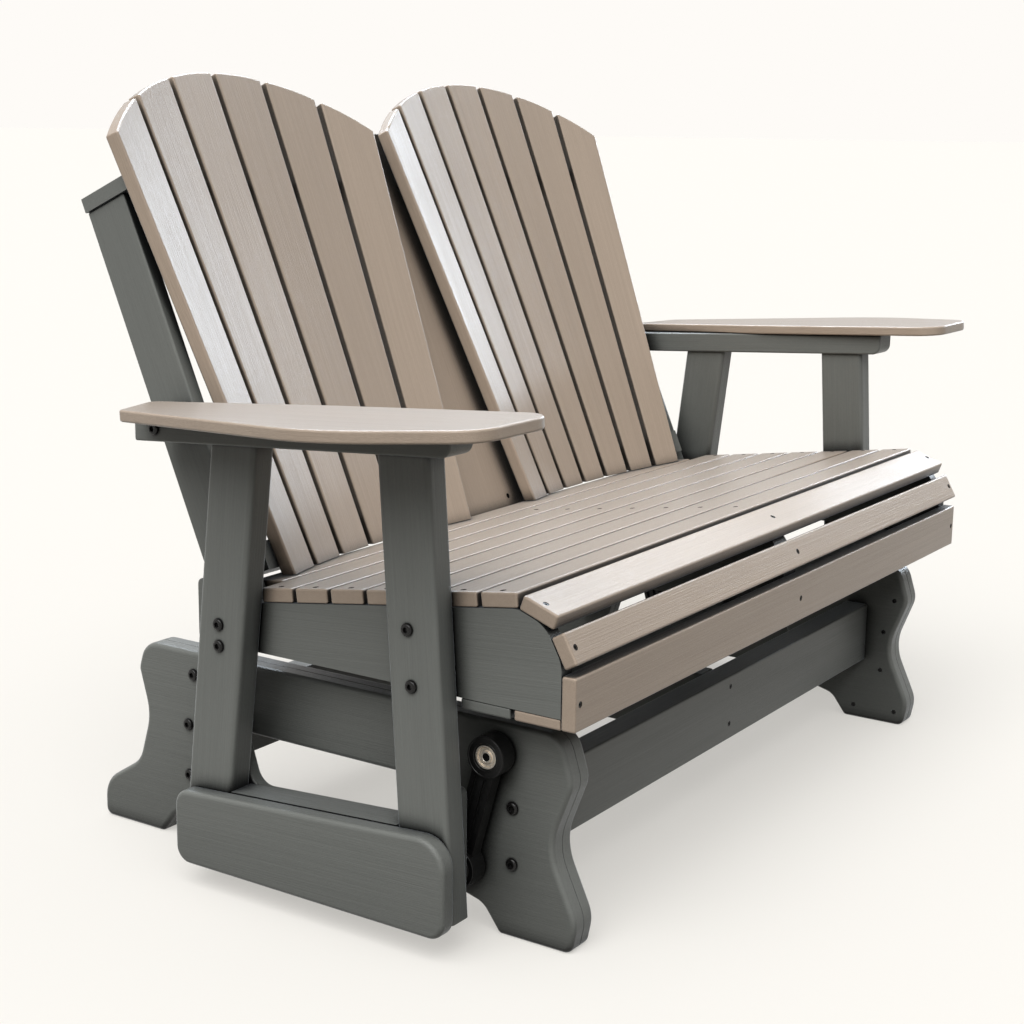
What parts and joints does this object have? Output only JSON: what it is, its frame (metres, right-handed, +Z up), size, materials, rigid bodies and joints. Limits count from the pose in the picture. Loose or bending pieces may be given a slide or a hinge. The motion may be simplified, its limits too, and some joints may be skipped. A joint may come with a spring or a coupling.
{
  "type": "glider loveseat",
  "caption": "Two-place slatted patio glider with fanned twin backs and flat arms; its seat swings fore and aft on links hung inside a standing base.",
  "frame": {"origin": "on the floor, midway between the left and right sides and midway between the front fascia and the rear feet", "axes": "+X to the sitter's left as seen from the front (picture's far end), +Y towards the back, +Z up"},
  "size_m": [1.557, 0.8192, 1.0383],
  "materials": {
    "tan_lumber": "brushed, satin, fine lengthwise grain",
    "grey_lumber": "brushed, satin, fine lengthwise grain",
    "black_hardware": "black coated",
    "black_link": "black satin",
    "bearing_steel": "turned steel"
  },
  "bodies": {
    "base": {"base_fasteners": "black_hardware", "base_panel_inner_left": "grey_lumber", "base_panel_inner_right": "grey_lumber", "base_panel_outer_left": "grey_lumber", "base_panel_outer_right": "grey_lumber", "centre_brace": "grey_lumber", "front_stretcher": "grey_lumber", "rear_stretcher": "grey_lumber", "upper_pivot_bolts": "black_hardware"},
    "link_front_left": {"link_front_left": "black_link", "bearings_front_left": "bearing_steel"},
    "link_front_right": {"link_front_right": "black_link", "bearings_front_right": "bearing_steel"},
    "link_rear_left": {"link_rear_left": "black_link", "bearings_rear_left": "bearing_steel"},
    "link_rear_right": {"link_rear_right": "black_link", "bearings_rear_right": "bearing_steel"},
    "seat": {"arm_rail_left": "grey_lumber", "arm_rail_right": "grey_lumber", "armrest_left": "tan_lumber", "armrest_right": "tan_lumber", "back_slat_left_1": "tan_lumber", "back_slat_left_2": "tan_lumber", "back_slat_left_3": "tan_lumber", "back_slat_left_4": "tan_lumber", "back_slat_left_5": "tan_lumber", "back_slat_left_6": "tan_lumber", "back_slat_right_1": "tan_lumber", "back_slat_right_2": "tan_lumber", "back_slat_right_3": "tan_lumber", "back_slat_right_4": "tan_lumber", "back_slat_right_5": "tan_lumber", "back_slat_right_6": "tan_lumber", "back_slat_right_7": "tan_lumber", "centre_rail": "grey_lumber", "centre_wedge": "tan_lumber", "fascia_slat": "tan_lumber", "frame_bolts": "black_hardware", "front_edge_slats": "tan_lumber", "lower_back_rail": "grey_lumber", "lower_pivot_bolts": "black_hardware", "lower_plate_left": "grey_lumber", "lower_plate_right": "grey_lumber", "lower_rail_left": "grey_lumber", "lower_rail_right": "grey_lumber", "post_front_left": "grey_lumber", "post_front_right": "grey_lumber", "post_rear_left": "grey_lumber", "post_rear_right": "grey_lumber", "rear_cross_rail": "grey_lumber", "rear_seat_slat": "tan_lumber", "seat_slats": "tan_lumber", "side_rail_left": "grey_lumber", "side_rail_right": "grey_lumber", "slat_screws": "black_hardware", "top_back_rail": "grey_lumber", "under_board": "grey_lumber", "under_slat": "tan_lumber", "upright_left": "grey_lumber", "upright_right": "grey_lumber"}
  },
  "joints": [
    {"name": "glide", "type": "hinge", "parent": "base", "child": "link_front_left", "pos_m": [-0.561, -0.2695, 0.236], "axis": [1, 0, 0], "range_deg": [-15, 15]},
    {"name": "swing_front_right", "type": "hinge", "parent": "base", "child": "link_front_right", "pos_m": [0.561, -0.2695, 0.236], "axis": [1, 0, 0], "range_deg": [-15, 15]},
    {"name": "swing_rear_left", "type": "hinge", "parent": "base", "child": "link_rear_left", "pos_m": [-0.561, 0.1625, 0.236], "axis": [1, 0, 0], "range_deg": [-15, 15]},
    {"name": "swing_rear_right", "type": "hinge", "parent": "base", "child": "link_rear_right", "pos_m": [0.561, 0.1625, 0.236], "axis": [1, 0, 0], "range_deg": [-15, 15]},
    {"name": "seat_pivot", "type": "hinge", "parent": "link_front_left", "child": "seat", "pos_m": [-0.561, -0.2285, 0.086], "axis": [1, 0, 0], "range_deg": [-18.5, 18.5]}
  ],
  "couplings": [
    {"joint": "swing_front_right", "follows": "glide", "ratio": 1},
    {"joint": "swing_rear_left", "follows": "glide", "ratio": 1},
    {"joint": "swing_rear_right", "follows": "glide", "ratio": 1},
    {"joint": "seat_pivot", "follows": "glide", "ratio": -1.2288}
  ]
}
